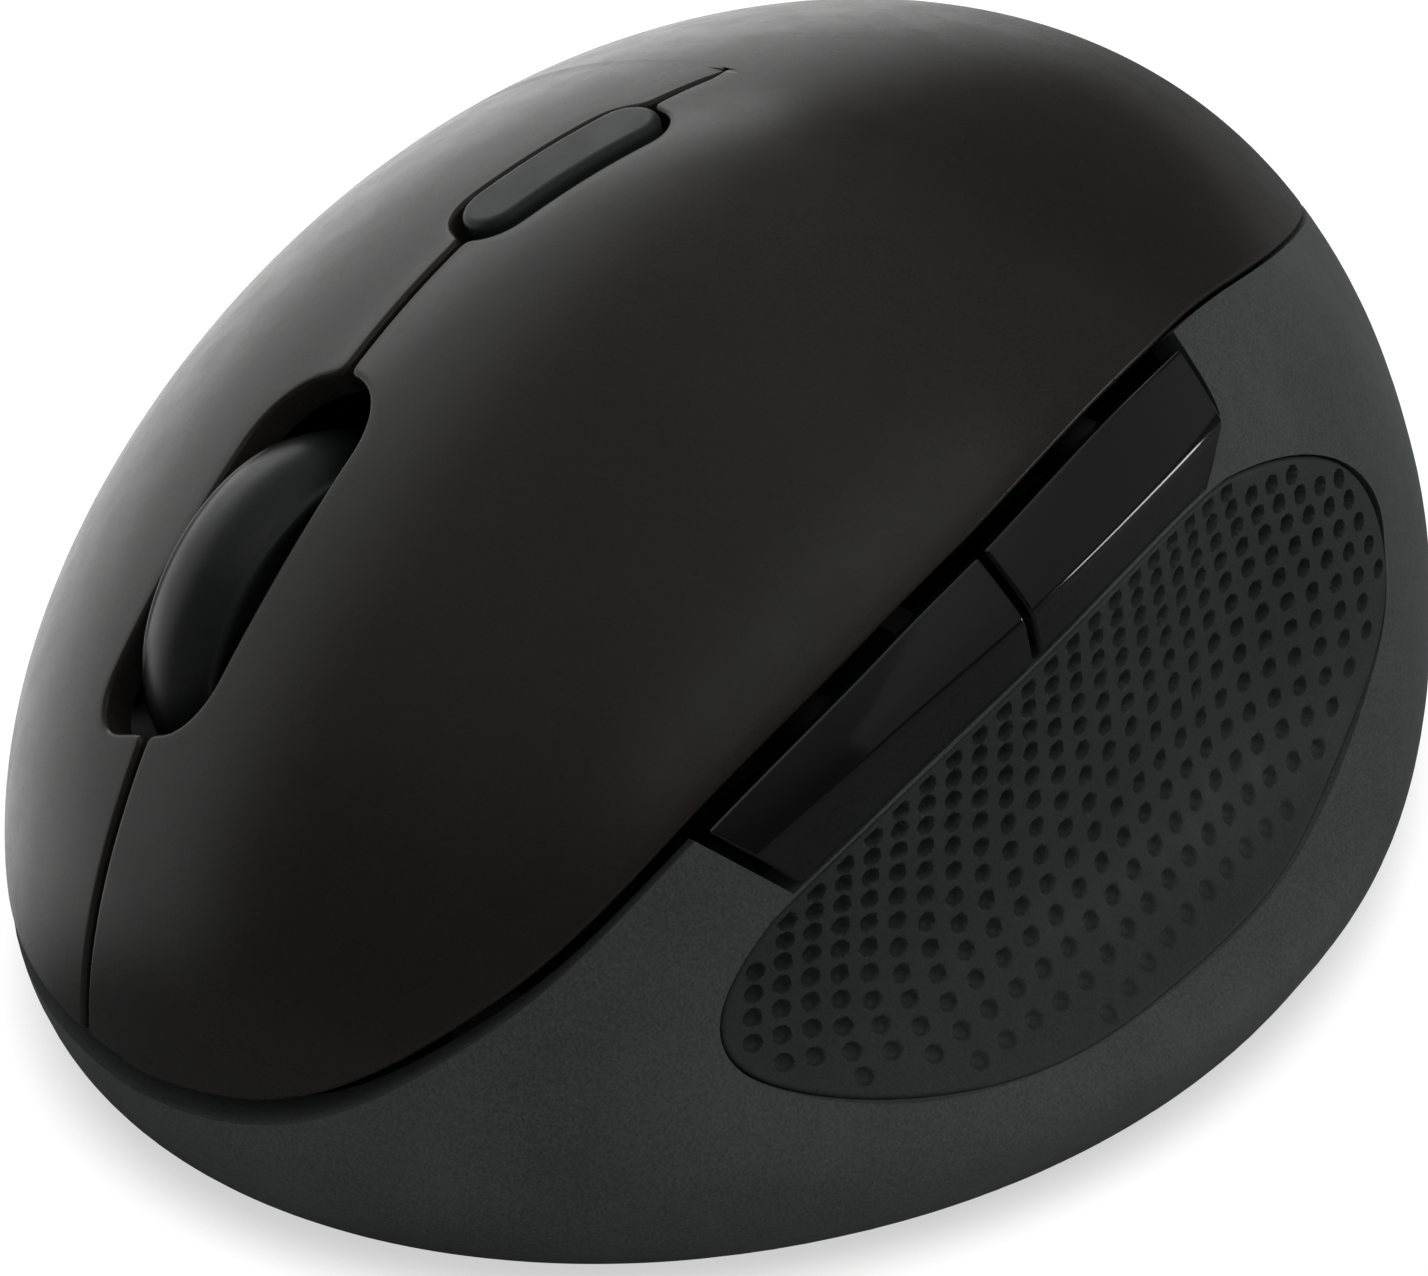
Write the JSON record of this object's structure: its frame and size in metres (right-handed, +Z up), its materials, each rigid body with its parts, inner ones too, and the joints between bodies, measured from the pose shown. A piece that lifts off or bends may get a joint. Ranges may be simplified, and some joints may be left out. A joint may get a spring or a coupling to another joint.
{
  "type": "ergonomic mouse",
  "caption": "Compact cordless ergonomic computer mouse for the right hand, with clicking keys, a scroll wheel, a speed button, thumb buttons and a dimpled thumb grip.",
  "frame": {"origin": "middle of the footprint, on the surface that the feet glide on", "axes": "+Z up, the nose with the wheel points to -Y, the thumb side is +X"},
  "size_m": [0.0695, 0.0895, 0.0439],
  "materials": {
    "cover_satin": "warm black satin",
    "shell_matte": "dark grey, soft-touch",
    "base_black": "black, fine texture",
    "grip_rubber": "dark grey, dimpled",
    "button_gloss": "black gloss",
    "button_satin": "dark grey satin",
    "tyre_rubber": "smooth dark rubber",
    "inner_black": "black moulding",
    "board_green": "lacquered board",
    "switch_black": "black case",
    "plunger_white": "white moulding",
    "clear_plastic": "clear moulding",
    "cell_label": "plain sleeve",
    "plated_metal": "nickel plated",
    "skate_plastic": "slick low-friction plastic",
    "screw_steel": "zinc plated"
  },
  "bodies": {
    "chassis": {"palm_cover": "cover_satin", "side_shell": "shell_matte", "base_plate": "base_black", "thumb_grip": "grip_rubber", "wheel_tower": "inner_black", "wheel_encoder": "inner_black", "main_board": "board_green", "side_board": "board_green", "dpi_board": "board_green", "left_switch": "switch_black", "right_switch": "switch_black", "wheel_switch": "switch_black", "forward_switch": "switch_black", "back_switch": "switch_black", "dpi_switch": "switch_black", "sensor_chip": "switch_black", "sensor_lens": "clear_plastic", "controller_chip": "switch_black", "round_cell": "cell_label", "cell_contact": "plated_metal", "cell_spring": "plated_metal", "power_switch": "plated_metal", "front_skate": "skate_plastic", "back_skates": "skate_plastic", "housing_screws": "screw_steel", "board_screws": "screw_steel"},
    "left_key_body": {"left_key": "cover_satin"},
    "right_key_body": {"right_key": "cover_satin"},
    "carrier_body": {"wheel_carrier": "inner_black"},
    "wheel_body": {"wheel_tyre": "tyre_rubber", "wheel_hub": "inner_black"},
    "forward_body": {"forward_button": "button_gloss"},
    "back_body": {"back_button": "button_gloss"},
    "dpi_body": {"dpi_button": "button_satin"},
    "left_plunger_body": {"left_plunger": "plunger_white"},
    "right_plunger_body": {"right_plunger": "plunger_white"},
    "wheel_plunger_body": {"wheel_plunger": "plunger_white"},
    "forward_plunger_body": {"forward_plunger": "plunger_white"},
    "back_plunger_body": {"back_plunger": "plunger_white"},
    "dpi_plunger_body": {"dpi_plunger": "plunger_white"},
    "power_body": {"power_slider": "button_satin"},
    "door_body": {"battery_door": "base_black"},
    "receiver_body": {"receiver_cap": "base_black", "receiver_plug": "plated_metal"}
  },
  "joints": [
    {"name": "left_click", "type": "hinge", "parent": "chassis", "child": "left_key_body", "pos_m": [0, 0.0034, 0.014], "axis": [1, 0, 0], "range_deg": [0, 0.7], "stiffness_Nm_per_rad": 1.6, "springref_deg": -0.34},
    {"name": "right_click", "type": "hinge", "parent": "chassis", "child": "right_key_body", "pos_m": [0, 0.0034, 0.014], "axis": [1, 0, 0], "range_deg": [0, 0.7], "stiffness_Nm_per_rad": 1.6, "springref_deg": -0.34},
    {"name": "wheel_press", "type": "slide", "parent": "chassis", "child": "carrier_body", "axis": [0, 0, -1], "range_m": [0, 0.0005], "stiffness_N_per_m": 600},
    {"name": "wheel_spin", "type": "hinge", "parent": "carrier_body", "child": "wheel_body", "pos_m": [-0.0081, -0.0262, 0.0232], "axis": [1, 0, 0], "continuous": true},
    {"name": "forward_click", "type": "slide", "parent": "chassis", "child": "forward_body", "axis": [-1, 0, 0], "range_m": [0, 0.0004], "stiffness_N_per_m": 800},
    {"name": "back_click", "type": "slide", "parent": "chassis", "child": "back_body", "axis": [-1, 0, 0], "range_m": [0, 0.0004], "stiffness_N_per_m": 800},
    {"name": "dpi_click", "type": "slide", "parent": "chassis", "child": "dpi_body", "axis": [0, 0, -1], "range_m": [0, 0.0004], "stiffness_N_per_m": 800},
    {"name": "left_plunger_slide", "type": "slide", "parent": "chassis", "child": "left_plunger_body", "axis": [0, 0, -1], "range_m": [0, 0.0006], "stiffness_N_per_m": 2},
    {"name": "right_plunger_slide", "type": "slide", "parent": "chassis", "child": "right_plunger_body", "axis": [0, 0, -1], "range_m": [0, 0.0006], "stiffness_N_per_m": 2},
    {"name": "wheel_plunger_slide", "type": "slide", "parent": "chassis", "child": "wheel_plunger_body", "axis": [0, 0, -1], "range_m": [0, 0.0006], "stiffness_N_per_m": 2},
    {"name": "forward_plunger_slide", "type": "slide", "parent": "chassis", "child": "forward_plunger_body", "axis": [-1, 0, 0], "range_m": [0, 0.0006], "stiffness_N_per_m": 2},
    {"name": "back_plunger_slide", "type": "slide", "parent": "chassis", "child": "back_plunger_body", "axis": [-1, 0, 0], "range_m": [0, 0.0006], "stiffness_N_per_m": 2},
    {"name": "dpi_plunger_slide", "type": "slide", "parent": "chassis", "child": "dpi_plunger_body", "axis": [0, 0, -1], "range_m": [0, 0.0006], "stiffness_N_per_m": 2},
    {"name": "power_slide", "type": "slide", "parent": "chassis", "child": "power_body", "axis": [0, 1, 0], "range_m": [0, 0.003]},
    {"name": "door_lift", "type": "slide", "parent": "chassis", "child": "door_body", "axis": [0, 0, -1], "range_m": [0, 0.006]},
    {"name": "receiver_pull", "type": "slide", "parent": "chassis", "child": "receiver_body", "axis": [0, 0, -1], "range_m": [0, 0.02]}
  ],
  "couplings": [
    {"joint": "left_plunger_slide", "follows": "left_click", "m_per_rad": 0.0306},
    {"joint": "right_plunger_slide", "follows": "right_click", "m_per_rad": 0.0249},
    {"joint": "wheel_plunger_slide", "follows": "wheel_press", "ratio": 1},
    {"joint": "forward_plunger_slide", "follows": "forward_click", "ratio": 1},
    {"joint": "back_plunger_slide", "follows": "back_click", "ratio": 1},
    {"joint": "dpi_plunger_slide", "follows": "dpi_click", "ratio": 1}
  ]
}
